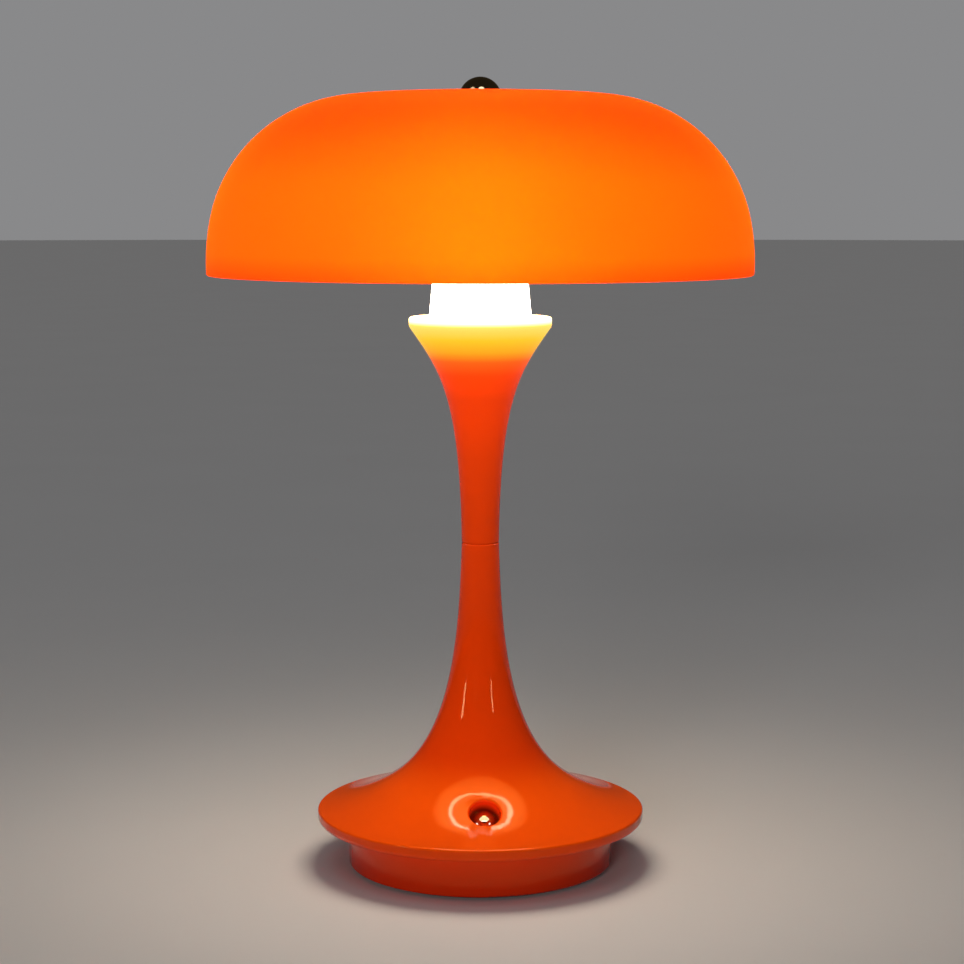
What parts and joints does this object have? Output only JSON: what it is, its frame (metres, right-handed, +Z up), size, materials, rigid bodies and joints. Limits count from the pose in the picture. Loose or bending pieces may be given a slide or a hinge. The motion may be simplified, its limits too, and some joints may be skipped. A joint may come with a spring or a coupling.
{
  "type": "table lamp",
  "caption": "Mushroom table lamp: translucent domed shade on a trumpet stem and flared round foot, with a push button in a pocket and a domed knob on the crown.",
  "frame": {"origin": "middle of the foot's underside, on the table", "axes": "+Z up along the stem, -Y towards the push button at the front, +Y towards the charging socket"},
  "size_m": [0.16, 0.16, 0.2345],
  "materials": {
    "shade_orange": "gloss, translucent",
    "body_orange": "gloss",
    "opal": "satin, translucent",
    "dark_chrome": "polished",
    "chrome": "polished",
    "steel": "plain",
    "ballast_steel": "zinc plated",
    "brass": "plain",
    "aluminium": "turned",
    "rubber": "matt",
    "foam": "matt",
    "cable": "satin",
    "board_green": "solder mask",
    "board_white": "solder mask",
    "led": "phosphor",
    "battery_wrap": "film",
    "black_plastic": "moulded"
  },
  "bodies": {
    "lamp": {"shade": "shade_orange", "shade_washer": "rubber", "shade_rod": "steel", "diffuser": "opal", "led_board": "board_white", "leds": "led", "led_carrier": "aluminium", "led_screws": "steel", "upper_stem": "body_orange", "stem_nipple": "brass", "base_cover": "body_orange", "base_drum": "body_orange", "bottom_cover": "black_plastic", "foot_pad": "rubber", "bottom_screws": "steel", "base_screws": "steel", "ballast": "ballast_steel", "battery": "battery_wrap", "battery_tape": "foam", "main_board": "board_green", "board_chips": "black_plastic", "board_screws": "steel", "usb_port": "steel", "usb_tongue": "black_plastic", "tact_switch": "black_plastic", "switch_board": "board_green", "switch_screws": "steel", "led_lead": "cable"},
    "button": {"button": "chrome", "switch_plunger": "black_plastic"},
    "finial_lift": {"finial_washer": "rubber"},
    "finial": {"finial": "dark_chrome"}
  },
  "joints": [
    {"name": "button_press", "type": "slide", "parent": "lamp", "child": "button", "axis": [0, 0.8387, -0.5446], "range_m": [0, 0.0005], "stiffness_N_per_m": 2000, "springref_m": -0.0002},
    {"name": "finial_rise", "type": "slide", "parent": "lamp", "child": "finial_lift", "axis": [0, 0, 1], "range_m": [0, 0.0024]},
    {"name": "finial_turn", "type": "hinge", "parent": "finial_lift", "child": "finial", "pos_m": [0, 0, 0.2301], "axis": [0, 0, 1], "range_deg": [0, 1080]}
  ],
  "couplings": [
    {"joint": "finial_turn", "follows": "finial_rise", "rad_per_m": 7854}
  ]
}
